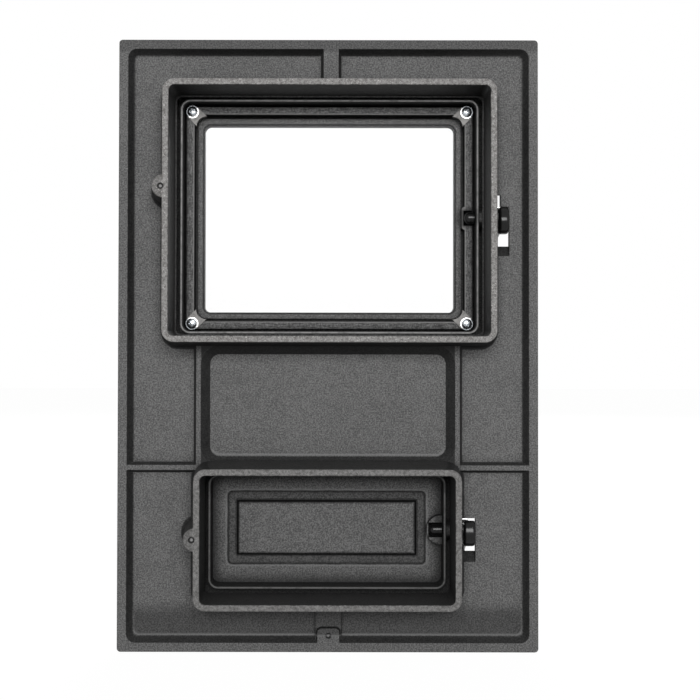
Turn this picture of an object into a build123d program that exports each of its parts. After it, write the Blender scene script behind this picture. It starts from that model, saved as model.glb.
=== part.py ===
"""Cast-iron stove front: a glazed fire door above an ash door, both hung in one plate.

Frame of the part, in millimetres: +Z up, +X to the right when the stove side is looked at,
+Y towards the room. The origin is the centre of the plate's back rim, which bears on the wall.
"""

from build123d import *
from math import acos, cos, degrees, radians, sin, tan
import os

# Plate
plate_width = 350.0
plate_height = 510.0
plate_corner = 3.0
rim_width = 7.5
rim_slope = 5.0
field_depth = 5.0
field_thickness = 6.0
field_corner = 5.0
front_edge = 1.5

# Collars that reach into the stove
collar_reach = 35.0
collar_wall = 5.3
collar_draft = 5.0
collar_root = 5.0
collar_edge = 0.5

# Fire passage, above
fire_x = 1.0
fire_side_margin = 45.0
fire_top_margin = 45.05
fire_height = 202.5
fire_corner = 4.5
mouth_step = 1.4
mouth_thickness = 3.0

# Ash passage, below
ash_x = -0.2
ash_side_margin = 72.25
ash_bottom_margin = 46.4
ash_height = 103.2
ash_corner = 4.5

# Sloped pocket between the collars, with a rib on each side
pocket_inset = 4.25
pocket_margin = 13.925
pocket_sink = 1.525
pocket_corner = 8.0
pocket_slope = 7.5
rib_top = 3.8
rib_draft = 25.0

# Ribs in line with the ash collar's upper wall
side_rib_width = 4.2

# Rib above the fire collar and tab below the ash collar
top_rib_x = 2.2
top_rib_width = 12.5
tab_x = 0.6
tab_width = 18.2
tab_height = 12.0
tab_corner = 3.5
tab_foot_width = 21.5
tab_foot_step = 2.5
tab_pip_radius = 2.1
pip_depth = 1.2

# Half-round lugs beside the collars
lug_radius = 9.4
lug_offset = 1.2
fire_lug_rise = 19.3
ash_lug_rise = 0.2
lug_pip_radius = 2.3

# Latch slots through the plate
fire_slot_side_gap = 2.9
fire_slot_rise = 8.2
fire_slot_drop = 24.8
fire_slot_scoop = 8.6
ash_slot_side_gap = 4.1
ash_slot_rise = 12.0
ash_slot_drop = 16.1
ash_slot_scoop = 8.3
slot_clearance = 1.2
flash_gap_width = 3.4
flash_gap_height = 9.5

# Door leaves
seat_gap = 0.3
leaf_wall = 5.0
leaf_corner = 6.0
leaf_edge = 2.0
lip_entry = 3.0
lip_wall = 2.2
lip_corner = 8.5
fire_door_sink = 0.7
fire_leaf_lap_x = 10.0
fire_leaf_lap_z = 10.25
fire_leaf_depth = 27.7
fire_lip_gap_x = 4.3
fire_lip_gap_z = 2.45
channel_width = 2.1
channel_depth = 10.0
ledge_inset = 12.0
ledge_width = 6.2
ledge_corner = 9.0
seat_inset = 9.0
groove_width = 2.4
seat_width = 5.6
seat_corner = 8.0
ash_door_shift = -0.4
ash_door_rise = 0.4
ash_leaf_lap_x = 9.25
ash_leaf_lap_z = 10.4
ash_leaf_depth = 20.7
ash_lip_gap_x = 3.05
ash_lip_gap_z = 3.6

# Stepped panel of the ash leaf
panel_shift = -0.4
panel_lift = 0.7
panel_margin_x = 15.35
panel_margin_z = 16.85
panel_recess = 1.5
panel_corner = 4.0
panel_border = 7.8
panel_rise = 2.6
panel_draft = 30.0

# Window pane, its clips, washers and screws
glass_thickness = 4.0
glass_gap = 0.7
glass_corner = 2.0
clip_width = 12.0
clip_thickness = 1.5
clip_tail = 5.2
clip_gap = 0.4
clip_slant = 45.0
screw_inset_x = 4.9
screw_inset_z = 4.5
screw_radius = 2.5
screw_length = 14.0
thread_gap = 0.02
clip_hole_gap = 0.3
screw_head_radius = 4.4
screw_head_height = 3.2
screw_head_round = 1.6
clip_washer_radius = 5.25
clip_washer_thickness = 1.0

# Latches
latch_axis = 21.0
latch_pin_radius = 4.0
latch_neck_radius = 3.5
latch_head_radius = 5.8
latch_head_length = 8.9
ash_head_length = 11.2
latch_dome = 4.5
latch_boss_radius = 8.5
latch_running_gap = 0.05
latch_pocket_gap = 0.7
latch_end_gap = 0.3
fire_boss_bulge = 2.6
fire_boss_height = 19.6
ash_boss_radius = 12.3
ash_boss_height = 8.0
latch_washer_radius = 8.0
latch_washer_thickness = 1.0
lever_thickness = 6.6
hub_radius = 9.5
nose_radius = 11.2
nose_back = 15.8
nose_drop = 4.0
hook_front = 6.0
fire_hook_back = 19.3
fire_neck_top = 3.0
ash_hook_back = 20.8
ash_neck_top = 6.6
elbow_forward = 34.0
elbow_drop = 10.0
elbow_radius = 6.5
grip_forward = 38.0
grip_drop = 72.0
grip_radius = 6.0
rivet_radius = 6.0
rivet_height = 2.4
rivet_round = 2.0
ash_lever_turn = 14.0

# Hinges on the room side
hinge_standoff = 9.0
hinge_axis = 22.0
hinge_eye_radius = 7.0
hinge_eye_height = 14.0
hinge_split = 0.3
hinge_web = 10.0
fire_hinge_inset = 36.5
ash_hinge_inset = 26.0
hinge_pin_radius = 3.5
hinge_running_gap = 0.1
hinge_head_radius = 5.5
hinge_head_height = 3.5
hinge_head_edge = 1.0
hinge_pin_tail = 1.0

# How far a shape runs on past the one that it joins or cuts
overlap = 1.0

# Passages, and the pocket between them, placed from the plate's edges
fire_width = plate_width - 2 * fire_side_margin
fire_z = plate_height / 2 - fire_top_margin - fire_height / 2
ash_width = plate_width - 2 * ash_side_margin
ash_z = ash_bottom_margin + ash_height / 2 - plate_height / 2
bridge_top = fire_z - fire_height / 2
bridge_low = ash_z + ash_height / 2
pocket_width = ash_width - 2 * pocket_inset
pocket_height = bridge_top - bridge_low - 2 * pocket_margin
pocket_z = (bridge_top + bridge_low) / 2 - pocket_sink
fire_lug_z = fire_z + fire_lug_rise
ash_lug_z = ash_z + ash_lug_rise

# Doors, sized and placed from their passages
fire_door_z = fire_z - fire_door_sink
fire_leaf_width = fire_width + 2 * fire_leaf_lap_x
fire_leaf_height = fire_height + 2 * fire_leaf_lap_z
fire_lip_width = fire_width - 2 * fire_lip_gap_x
fire_lip_height = fire_height - 2 * fire_lip_gap_z
ash_door_x = ash_x + ash_door_shift
ash_door_z = ash_z + ash_door_rise
ash_leaf_width = ash_width + 2 * ash_leaf_lap_x
ash_leaf_height = ash_height + 2 * ash_leaf_lap_z
ash_lip_width = ash_width - 2 * ash_lip_gap_x
ash_lip_height = ash_height - 2 * ash_lip_gap_z
panel_x = ash_door_x + panel_shift
panel_z = ash_door_z + panel_lift
panel_width = ash_lip_width - 2 * panel_margin_x
panel_height = ash_lip_height - 2 * panel_margin_z
fire_hinge_spread = fire_leaf_height / 2 - fire_hinge_inset
ash_hinge_spread = ash_leaf_height / 2 - ash_hinge_inset

# Depths along Y, worked out from the sizes above
field_back = field_depth
plate_front = field_back + field_thickness
leaf_back = plate_front + seat_gap
lip_back = plate_front - lip_entry
fire_front = leaf_back + fire_leaf_depth
fire_wall_back = fire_front - leaf_wall
ledge_back = lip_back + ledge_inset
seat_back = ledge_back + seat_inset
glass_back = seat_back - glass_thickness
channel_back = ledge_back + channel_depth
clip_back = ledge_back - clip_thickness
ash_front = leaf_back + ash_leaf_depth
ash_wall_back = ash_front - leaf_wall

# Outlines of the fire leaf's rings, from the lip inwards
ledge_outer_width = fire_lip_width - 2 * (lip_wall + channel_width)
ledge_outer_height = fire_lip_height - 2 * (lip_wall + channel_width)
ledge_inner_width = ledge_outer_width - 2 * ledge_width
ledge_inner_height = ledge_outer_height - 2 * ledge_width
seat_outer_width = ledge_inner_width - 2 * groove_width
seat_outer_height = ledge_inner_height - 2 * groove_width
window_width = seat_outer_width - 2 * seat_width
window_height = seat_outer_height - 2 * seat_width
window_corner = seat_corner - seat_width / 2
glass_width = seat_outer_width - 2 * glass_gap
glass_height = seat_outer_height - 2 * glass_gap
screw_x = ledge_outer_width / 2 - screw_inset_x
screw_z = ledge_outer_height / 2 - screw_inset_z

# Sideways places
collar_flare = (collar_reach + field_back) * tan(radians(collar_draft))
fire_leaf_right = fire_x + fire_leaf_width / 2
fire_leaf_left = fire_x - fire_leaf_width / 2
ash_leaf_right = ash_door_x + ash_leaf_width / 2
ash_leaf_left = ash_door_x - ash_leaf_width / 2
fire_lip_inside = fire_x + fire_lip_width / 2 - lip_wall
ash_lip_inside = ash_door_x + ash_lip_width / 2 - lip_wall
fire_hinge_x = fire_leaf_left - hinge_standoff
ash_hinge_x = ash_leaf_left - hinge_standoff
fire_lever_left = fire_leaf_right + latch_washer_thickness + latch_end_gap
ash_lever_left = ash_leaf_right + latch_washer_thickness + latch_end_gap
fire_slot_right = fire_lever_left + lever_thickness + fire_slot_side_gap
ash_slot_right = ash_lever_left + lever_thickness + ash_slot_side_gap


def at_depth(y):
    """Plane across the part at depth y, drawn in X and Z, whose extrusions run towards the stove."""
    return Plane.XZ.offset(-y)


def frame_sketch(y, centre, outer, outer_corner, inner, inner_corner):
    """Sketch of a rounded rectangular ring at depth y; outer and inner are (width, height)."""
    with BuildSketch(at_depth(y)) as ring:
        with Locations(centre):
            RectangleRounded(*outer, outer_corner)
            RectangleRounded(*inner, inner_corner, mode=Mode.SUBTRACT)
    return ring.sketch


def link_outline(start, start_radius, end, end_radius):
    """Corners of the straight-sided link that is tangent to two circles."""
    along = Vector(end) - Vector(start)
    lean = acos((start_radius - end_radius) / along.length)
    corners = []
    for centre, radius, side in (
        (start, start_radius, 1),
        (end, end_radius, 1),
        (end, end_radius, -1),
        (start, start_radius, -1),
    ):
        reach = along.normalized().rotate(Axis.Z, degrees(side * lean)) * radius
        corners.append((centre[0] + reach.X, centre[1] + reach.Y))
    return corners


def turned(point, degrees_up):
    """Point (forward, up) from the latch's pivot, with the nose at the back turned up."""
    turn = radians(-degrees_up)
    forward, up = point
    return (forward * cos(turn) - up * sin(turn), forward * sin(turn) + up * cos(turn))


# Walls of the pocket between the collars, kept apart so that the pocket cuts nothing else
pocket_wall_width = pocket_width + 2 * (pocket_slope + rib_top)
pocket_wall_draft = field_depth * tan(radians(rib_draft))
with BuildPart() as pocket_walls:
    with BuildSketch(at_depth(field_back)):
        with Locations((0, pocket_z)):
            Rectangle(pocket_wall_width + 2 * pocket_wall_draft, pocket_height + 2 * pocket_slope)
    extrude(amount=field_depth)
    for side in (-1, 1):
        with BuildSketch(Plane.XY.offset(pocket_z - pocket_height)):
            with BuildLine():
                Polyline(
                    (side * (pocket_wall_width / 2 + pocket_wall_draft), field_back),
                    (side * (pocket_wall_width / 2), 0),
                    (side * (pocket_wall_width / 2 + pocket_wall_draft), 0),
                    close=True,
                )
            make_face()
        extrude(amount=2 * pocket_height, mode=Mode.SUBTRACT)
    with BuildSketch(at_depth(field_back)):
        with Locations((0, pocket_z)):
            RectangleRounded(pocket_width, pocket_height, pocket_corner)
    with BuildSketch(at_depth(0)):
        with Locations((0, pocket_z)):
            RectangleRounded(
                pocket_width + 2 * pocket_slope,
                pocket_height + 2 * pocket_slope,
                pocket_corner + pocket_slope,
            )
    loft(mode=Mode.SUBTRACT)

with BuildPart() as front_plate:
    # Plate with its recessed field
    with BuildSketch(at_depth(plate_front)):
        RectangleRounded(plate_width, plate_height, plate_corner)
    extrude(amount=plate_front)
    chamfer(front_plate.faces().sort_by(Axis.Y)[-1].edges(), front_edge)
    with BuildSketch(at_depth(field_back)):
        RectangleRounded(
            plate_width - 2 * (rim_width + rim_slope),
            plate_height - 2 * (rim_width + rim_slope),
            field_corner,
        )
    with BuildSketch(at_depth(0)):
        RectangleRounded(
            plate_width - 2 * rim_width, plate_height - 2 * rim_width, field_corner + rim_slope / 2
        )
    loft(mode=Mode.SUBTRACT)

    # Drafted collars with their lugs
    for x, z, width, height, corner, lug_z in (
        (fire_x, fire_z, fire_width, fire_height, fire_corner, fire_lug_z),
        (ash_x, ash_z, ash_width, ash_height, ash_corner, ash_lug_z),
    ):
        grown = 2 * (collar_wall + collar_flare)
        with BuildSketch(at_depth(field_back)):
            with Locations((x, z)):
                RectangleRounded(width + grown, height + grown, corner + grown / 2)
        extrude(amount=collar_reach + field_back, taper=collar_draft)
        with BuildSketch(at_depth(field_back)):
            with Locations((x - width / 2 - collar_wall + lug_offset, lug_z)):
                Circle(lug_radius + collar_flare)
        extrude(amount=collar_reach + field_back, taper=collar_draft)
    roots = front_plate.edges().filter_by(
        lambda edge: abs(edge.center().Y - field_back) < 0.01
        and abs(edge.center().X) < plate_width / 2 - rim_width - rim_slope - overlap
        and abs(edge.center().Z) < plate_height / 2 - rim_width - rim_slope - overlap
    )
    fillet(roots, collar_root)

    # Pocket walls and ribs, level with the back rim
    add(pocket_walls.part)
    ash_collar_top = ash_z + ash_height / 2 + collar_wall
    ash_collar_side = ash_width / 2 + collar_wall
    field_half = plate_width / 2 - rim_width
    side_rib_length = field_half - ash_collar_side
    rib_base = 2 * field_depth * tan(radians(rib_draft))
    with BuildSketch(at_depth(field_back)):
        with Locations(
            (ash_collar_side + side_rib_length / 2, ash_collar_top - side_rib_width / 2),
            (-ash_collar_side - side_rib_length / 2, ash_collar_top - side_rib_width / 2),
        ):
            Rectangle(side_rib_length + rib_base, side_rib_width + rib_base)
    extrude(amount=field_depth, taper=rib_draft)
    top_rib_low = fire_z + fire_height / 2
    top_rib_length = plate_height / 2 - rim_width - top_rib_low
    with BuildSketch(at_depth(field_back)):
        with Locations((top_rib_x, top_rib_low + top_rib_length / 2)):
            Rectangle(top_rib_width + rib_base, top_rib_length + rib_base)
    extrude(amount=field_depth, taper=rib_draft)
    tab_low = -plate_height / 2 + rim_width
    tab_length = tab_height + tab_corner
    with BuildSketch(at_depth(field_back)):
        with Locations((tab_x, tab_low + tab_height - tab_length / 2)):
            RectangleRounded(tab_width + rib_base, tab_length + rib_base, tab_corner + rib_base / 2)
    extrude(amount=field_depth, taper=rib_draft)
    foot_top = ash_z - ash_height / 2
    with BuildSketch(at_depth(field_back)):
        with Locations((tab_x, (tab_low + foot_top) / 2)):
            Rectangle(tab_foot_width, foot_top - tab_low)
    extrude(amount=field_depth - tab_foot_step)

    # Passages through the collars, the fire one with a step at its mouth
    with BuildSketch(at_depth(plate_front)):
        with Locations((fire_x, fire_z)):
            RectangleRounded(fire_width - 2 * mouth_step, fire_height - 2 * mouth_step, fire_corner)
        with Locations((ash_x, ash_z)):
            RectangleRounded(ash_width, ash_height, ash_corner)
    extrude(amount=plate_front + collar_reach, mode=Mode.SUBTRACT)
    with BuildSketch(at_depth(plate_front - mouth_thickness)):
        with Locations((fire_x, fire_z)):
            RectangleRounded(fire_width, fire_height, fire_corner)
    extrude(amount=plate_front - mouth_thickness + collar_reach, mode=Mode.SUBTRACT)
    chamfer(front_plate.faces().sort_by(Axis.Y)[0:2].edges(), collar_edge)

    # Latch slots: straight through the foot of the collar, then up a sloped end through the plate
    for left, right, pivot_z, rise, drop, scoop in (
        (fire_lever_left, fire_slot_right, fire_door_z, fire_slot_rise, fire_slot_drop, fire_slot_scoop),
        (ash_lever_left, ash_slot_right, ash_door_z, ash_slot_rise, ash_slot_drop, ash_slot_scoop),
    ):
        slot_width = right - left + slot_clearance
        slot_x = right - slot_width / 2
        near_height = rise + drop + scoop
        far_height = rise + drop
        with BuildSketch(at_depth(field_back)):
            with Locations((slot_x, pivot_z + rise - near_height / 2)):
                Rectangle(slot_width, near_height)
        extrude(amount=collar_root + overlap, mode=Mode.SUBTRACT)
        with BuildSketch(at_depth(field_back)):
            with Locations((slot_x, pivot_z + rise - near_height / 2)):
                Rectangle(slot_width, near_height)
        with BuildSketch(at_depth(plate_front)):
            with Locations((slot_x, pivot_z + rise - far_height / 2)):
                Rectangle(slot_width, far_height)
        loft(mode=Mode.SUBTRACT)
    flash_gap_z = fire_door_z + fire_slot_rise + flash_gap_height / 2
    with BuildSketch(at_depth(plate_front)):
        with Locations((fire_lever_left - slot_clearance + flash_gap_width / 2, flash_gap_z)):
            Rectangle(flash_gap_width, flash_gap_height + overlap)
    extrude(amount=plate_front - field_back + collar_root + overlap, mode=Mode.SUBTRACT)

    # Drilled pips in the lugs and the tab
    with BuildSketch(at_depth(-collar_reach)):
        with Locations(
            (fire_x - fire_width / 2 - collar_wall - lug_offset, fire_lug_z),
            (ash_x - ash_width / 2 - collar_wall - lug_offset, ash_lug_z),
        ):
            Circle(lug_pip_radius)
    extrude(amount=-pip_depth, mode=Mode.SUBTRACT)
    with BuildSketch(at_depth(0)):
        with Locations((tab_x, tab_low + tab_height / 2)):
            Circle(tab_pip_radius)
    extrude(amount=-pip_depth, mode=Mode.SUBTRACT)

    # Hinge lugs on the room side
    for x, door_z, spread in (
        (fire_hinge_x, fire_door_z, fire_hinge_spread),
        (ash_hinge_x, ash_door_z, ash_hinge_spread),
    ):
        for side in (-1, 1):
            eye_top = door_z + side * spread - hinge_split / 2
            with BuildSketch(Plane.XY.offset(eye_top - hinge_eye_height)):
                with Locations((x, hinge_axis)):
                    Circle(hinge_eye_radius)
                with Locations((x, (plate_front + hinge_axis) / 2)):
                    Rectangle(2 * hinge_eye_radius, hinge_axis - plate_front)
            extrude(amount=hinge_eye_height)
            with BuildSketch(Plane.XY.offset(eye_top - hinge_eye_height)):
                with Locations((x, hinge_axis)):
                    Circle(hinge_pin_radius + thread_gap)
            extrude(amount=hinge_eye_height, mode=Mode.SUBTRACT)
front_plate.part.label = "front_plate"


def add_hinge_knuckles(leaf_left, hinge_x, door_z, spread):
    """Adds the leaf's two hinge knuckles to the part being built."""
    for side in (-1, 1):
        eye_low = door_z + side * spread + hinge_split / 2
        with BuildSketch(Plane.XY.offset(eye_low)) as eye:
            with Locations((hinge_x, hinge_axis)):
                Circle(hinge_eye_radius)
            with Locations(((hinge_x + leaf_left + overlap) / 2, hinge_axis)):
                Rectangle(leaf_left + overlap - hinge_x, hinge_web)
        extrude(eye.sketch, amount=hinge_eye_height)
        with BuildSketch(Plane.XY.offset(eye_low)) as bore:
            with Locations((hinge_x, hinge_axis)):
                Circle(hinge_pin_radius + hinge_running_gap)
        extrude(bore.sketch, amount=hinge_eye_height, mode=Mode.SUBTRACT)


def cut_latch_bore(lip_inside, leaf_right, pocket_left, door_z):
    """Cuts the latch pin's bore and the pocket that its head turns in."""
    with BuildSketch(Plane.YZ.offset(pocket_left)) as bore:
        with Locations((latch_axis, door_z)):
            Circle(latch_pin_radius + latch_running_gap)
    extrude(bore.sketch, amount=leaf_right - pocket_left, mode=Mode.SUBTRACT)
    with BuildSketch(Plane.YZ.offset(pocket_left)) as pocket:
        with Locations((latch_axis, door_z)):
            Circle(latch_head_radius + latch_pocket_gap)
    extrude(pocket.sketch, amount=lip_inside - pocket_left, mode=Mode.SUBTRACT)


fire_head_left = fire_lip_inside - latch_end_gap - latch_head_length
ash_head_left = ash_lip_inside - latch_end_gap - ash_head_length

with BuildPart() as fire_door_leaf:
    door_centre = (fire_x, fire_door_z)
    # Front wall, skirt and flame lip
    with BuildSketch(at_depth(fire_front)):
        with Locations(door_centre):
            RectangleRounded(fire_leaf_width, fire_leaf_height, leaf_corner)
    extrude(amount=leaf_wall)
    extrude(
        frame_sketch(
            fire_wall_back,
            door_centre,
            (fire_leaf_width, fire_leaf_height),
            leaf_corner,
            (fire_leaf_width - 2 * leaf_wall, fire_leaf_height - 2 * leaf_wall),
            leaf_corner / 2,
        ),
        amount=fire_wall_back - leaf_back,
    )
    extrude(
        frame_sketch(
            fire_wall_back,
            door_centre,
            (fire_lip_width, fire_lip_height),
            lip_corner,
            (fire_lip_width - 2 * lip_wall, fire_lip_height - 2 * lip_wall),
            lip_corner - lip_wall,
        ),
        amount=fire_wall_back - lip_back,
    )
    # Channel floor, ledge and glass seat
    extrude(
        frame_sketch(
            fire_wall_back,
            door_centre,
            (fire_lip_width - lip_wall, fire_lip_height - lip_wall),
            lip_corner - lip_wall,
            (ledge_inner_width, ledge_inner_height),
            ledge_corner,
        ),
        amount=fire_wall_back - channel_back,
    )
    extrude(
        frame_sketch(
            fire_wall_back,
            door_centre,
            (ledge_outer_width, ledge_outer_height),
            lip_corner - lip_wall,
            (ledge_inner_width, ledge_inner_height),
            ledge_corner,
        ),
        amount=fire_wall_back - ledge_back,
    )
    extrude(
        frame_sketch(
            fire_wall_back,
            door_centre,
            (seat_outer_width, seat_outer_height),
            seat_corner,
            (window_width, window_height),
            window_corner,
        ),
        amount=fire_wall_back - seat_back,
    )
    with BuildSketch(at_depth(fire_front)):
        with Locations(door_centre):
            RectangleRounded(window_width, window_height, window_corner)
    extrude(amount=leaf_wall, mode=Mode.SUBTRACT)
    chamfer(fire_door_leaf.faces().sort_by(Axis.Y)[-1].outer_wire().edges(), leaf_edge)

    # Bosses that carry the latch pin
    with BuildSketch(Plane.YZ.offset(fire_lip_inside)):
        with Locations((latch_axis, fire_door_z)):
            Circle(latch_boss_radius)
    extrude(amount=fire_leaf_right - fire_lip_inside)
    boss_right = fire_x + ledge_outer_width / 2
    boss_left = boss_right - ledge_width - fire_boss_bulge
    with BuildSketch(at_depth(fire_wall_back)):
        with Locations(((boss_left + boss_right) / 2, fire_door_z)):
            RectangleRounded(boss_right - boss_left, fire_boss_height, fire_boss_bulge)
    extrude(amount=fire_wall_back - ledge_back)
    cut_latch_bore(fire_lip_inside, fire_leaf_right, fire_head_left - latch_end_gap, fire_door_z)

    # Threaded holes for the clip screws
    with BuildSketch(at_depth(ledge_back)):
        with Locations(door_centre):
            with GridLocations(2 * screw_x, 2 * screw_z, 2, 2):
                Circle(screw_radius + thread_gap)
    extrude(amount=-screw_length, mode=Mode.SUBTRACT)

    add_hinge_knuckles(fire_leaf_left, fire_hinge_x, fire_door_z, fire_hinge_spread)
fire_door_leaf.part.label = "fire_door_leaf"

with BuildPart() as ash_door_leaf:
    door_centre = (ash_door_x, ash_door_z)
    # Front wall, skirt and flame lip
    with BuildSketch(at_depth(ash_front)):
        with Locations(door_centre):
            RectangleRounded(ash_leaf_width, ash_leaf_height, leaf_corner)
    extrude(amount=leaf_wall)
    extrude(
        frame_sketch(
            ash_wall_back,
            door_centre,
            (ash_leaf_width, ash_leaf_height),
            leaf_corner,
            (ash_leaf_width - 2 * leaf_wall, ash_leaf_height - 2 * leaf_wall),
            leaf_corner / 2,
        ),
        amount=ash_wall_back - leaf_back,
    )
    extrude(
        frame_sketch(
            ash_wall_back,
            door_centre,
            (ash_lip_width, ash_lip_height),
            lip_corner,
            (ash_lip_width - 2 * lip_wall, ash_lip_height - 2 * lip_wall),
            lip_corner - lip_wall,
        ),
        amount=ash_wall_back - lip_back,
    )
    chamfer(ash_door_leaf.faces().sort_by(Axis.Y)[-1].outer_wire().edges(), leaf_edge)

    # Panel: a shallow recess with a raised middle
    with BuildSketch(at_depth(ash_wall_back + panel_recess)):
        with Locations((panel_x, panel_z)):
            RectangleRounded(panel_width, panel_height, panel_corner)
    extrude(amount=panel_recess, mode=Mode.SUBTRACT)
    with BuildSketch(at_depth(ash_wall_back + panel_recess)):
        with Locations((panel_x, panel_z)):
            Rectangle(panel_width - 2 * panel_border, panel_height - 2 * panel_border)
    extrude(amount=panel_rise, taper=panel_draft)

    # Bosses that carry the latch pin
    with BuildSketch(Plane.YZ.offset(ash_lip_inside)):
        with Locations((latch_axis, ash_door_z)):
            Circle(latch_boss_radius)
    extrude(amount=ash_leaf_right - ash_lip_inside)
    with BuildSketch(at_depth(ash_wall_back)):
        with Locations((ash_lip_inside - overlap, ash_door_z)):
            Circle(ash_boss_radius)
        with Locations((ash_lip_inside + ash_boss_radius, ash_door_z)):
            Rectangle(2 * ash_boss_radius, 2 * ash_boss_radius, mode=Mode.SUBTRACT)
    extrude(amount=ash_boss_height)
    cut_latch_bore(ash_lip_inside, ash_leaf_right, ash_head_left - latch_end_gap, ash_door_z)

    add_hinge_knuckles(ash_leaf_left, ash_hinge_x, ash_door_z, ash_hinge_spread)
ash_door_leaf.part.label = "ash_door_leaf"

with BuildPart() as window_glass:
    with BuildSketch(at_depth(seat_back)):
        with Locations((fire_x, fire_door_z)):
            RectangleRounded(glass_width, glass_height, glass_corner)
    extrude(amount=glass_thickness)
window_glass.part.label = "window_glass"

# One clip at each corner of the pane: a flat strip with a hollow end and a turned-down toe
clips = []
seat_arc_x = seat_outer_width / 2 - seat_corner
seat_arc_z = seat_outer_height / 2 - seat_corner
ledge_arc_x = ledge_inner_width / 2 - ledge_corner
ledge_arc_z = ledge_inner_height / 2 - ledge_corner
for right in (-1, 1):
    for up in (-1, 1):
        screw_place = (fire_x + right * screw_x, fire_door_z + up * screw_z)
        seat_arc = (fire_x + right * seat_arc_x, fire_door_z + up * seat_arc_z)
        ledge_arc = (fire_x + right * ledge_arc_x, fire_door_z + up * ledge_arc_z)
        with BuildPart() as glass_clip:
            with BuildSketch(at_depth(ledge_back)):
                with Locations(screw_place):
                    Circle(clip_tail)
                strip_length = (Vector(seat_arc) - Vector(screw_place)).length
                strip_middle = (Vector(seat_arc) + Vector(screw_place)) / 2
                with Locations(strip_middle):
                    Rectangle(strip_length, clip_width, rotation=clip_slant * right * up)
                with Locations(seat_arc):
                    Circle(seat_corner + clip_gap, mode=Mode.SUBTRACT)
                with Locations(screw_place):
                    Circle(screw_radius + clip_hole_gap, mode=Mode.SUBTRACT)
            extrude(amount=clip_thickness)
            with BuildSketch(at_depth(glass_back)):
                with Locations(strip_middle):
                    Rectangle(strip_length, clip_width, rotation=clip_slant * right * up)
                with Locations(ledge_arc):
                    Circle(ledge_corner - clip_gap, mode=Mode.INTERSECT)
                with Locations(seat_arc):
                    Circle(seat_corner + clip_gap, mode=Mode.SUBTRACT)
            extrude(amount=glass_back - ledge_back)
        glass_clip.part.label = f"glass_clip_{len(clips) + 1}"
        clips.append(glass_clip.part)

with BuildPart() as clip_washers:
    with BuildSketch(at_depth(clip_back)):
        with Locations((fire_x, fire_door_z)):
            with GridLocations(2 * screw_x, 2 * screw_z, 2, 2):
                Circle(clip_washer_radius)
                Circle(screw_radius + clip_hole_gap, mode=Mode.SUBTRACT)
    extrude(amount=clip_washer_thickness)
clip_washers.part.label = "clip_washers"

washer_back = clip_back - clip_washer_thickness
with BuildPart() as clip_screws:
    with BuildSketch(at_depth(washer_back)):
        with Locations((fire_x, fire_door_z)):
            with GridLocations(2 * screw_x, 2 * screw_z, 2, 2):
                Circle(screw_head_radius)
    extrude(amount=screw_head_height)
    fillet(clip_screws.faces().sort_by(Axis.Y)[0:4].edges(), screw_head_round)
    with BuildSketch(at_depth(washer_back)):
        with Locations((fire_x, fire_door_z)):
            with GridLocations(2 * screw_x, 2 * screw_z, 2, 2):
                Circle(screw_radius)
    extrude(amount=-screw_length)
clip_screws.part.label = "clip_screws"


def build_latch_pin(head_left, lip_inside, lever_left, door_z):
    """Domed pin: head in the door's pocket, shank in its bore, riveted end beyond the lever."""
    head_right = lip_inside - latch_end_gap
    rivet_left = lever_left + lever_thickness
    with BuildPart() as pin:
        for left, right, radius in (
            (head_left, head_right, latch_head_radius),
            (head_right, lever_left, latch_pin_radius),
            (lever_left, rivet_left, latch_neck_radius),
            (rivet_left, rivet_left + rivet_height, rivet_radius),
        ):
            with BuildSketch(Plane.YZ.offset(left)):
                with Locations((latch_axis, door_z)):
                    Circle(radius)
            extrude(amount=right - left)
        fillet(pin.faces().sort_by(Axis.X)[0].edges(), latch_dome)
        fillet(pin.faces().sort_by(Axis.X)[-1].edges(), rivet_round)
    return pin.part


def build_lever(lever_left, door_z, turn, hook_back, neck_top):
    """Flat latch lever: hooked nose at the back, hub on the pin, grip hanging in front."""
    nose = turned((-nose_back, -nose_drop), turn)
    elbow = turned((elbow_forward, -elbow_drop), turn)
    grip = turned((grip_forward, -grip_drop), turn)
    hook = (
        (-hook_back, neck_top),
        (-hook_front, neck_top),
        (-hook_front, 2 * nose_radius),
        (-hook_back, 2 * nose_radius),
    )
    with BuildPart() as lever:
        with BuildSketch(Plane.YZ.offset(lever_left)):
            with Locations((latch_axis, door_z)):
                with Locations(nose):
                    Circle(nose_radius)
                Polygon(*hook, align=None, mode=Mode.SUBTRACT)
                Circle(hub_radius)
                Polygon(*link_outline((0, 0), hub_radius, elbow, elbow_radius), align=None)
                Polygon(*link_outline(elbow, elbow_radius, grip, grip_radius), align=None)
                with Locations(elbow):
                    Circle(elbow_radius)
                with Locations(grip):
                    Circle(grip_radius)
                Circle(latch_neck_radius + thread_gap, mode=Mode.SUBTRACT)
        extrude(amount=lever_thickness)
    return lever.part


def build_latch_washer(leaf_right, door_z):
    """Plain washer between the leaf's edge and the lever."""
    with BuildPart() as washer:
        with BuildSketch(Plane.YZ.offset(leaf_right)):
            with Locations((latch_axis, door_z)):
                Circle(latch_washer_radius)
                Circle(latch_pin_radius + clip_hole_gap, mode=Mode.SUBTRACT)
        extrude(amount=latch_washer_thickness)
    return washer.part


def build_hinge_pin(hinge_x, hinge_z):
    """Headed pin, dropped from above through the leaf's knuckle into the plate's lug."""
    low = hinge_z - hinge_split / 2 - hinge_eye_height - hinge_pin_tail
    head_low = hinge_z + hinge_split / 2 + hinge_eye_height + hinge_split
    with BuildPart() as pin:
        with BuildSketch(Plane.XY.offset(low)):
            with Locations((hinge_x, hinge_axis)):
                Circle(hinge_pin_radius)
        extrude(amount=head_low - low)
        with BuildSketch(Plane.XY.offset(head_low)):
            with Locations((hinge_x, hinge_axis)):
                Circle(hinge_head_radius)
        extrude(amount=hinge_head_height)
        chamfer(pin.faces().sort_by(Axis.Z)[-1].edges(), hinge_head_edge)
    return pin.part


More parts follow.
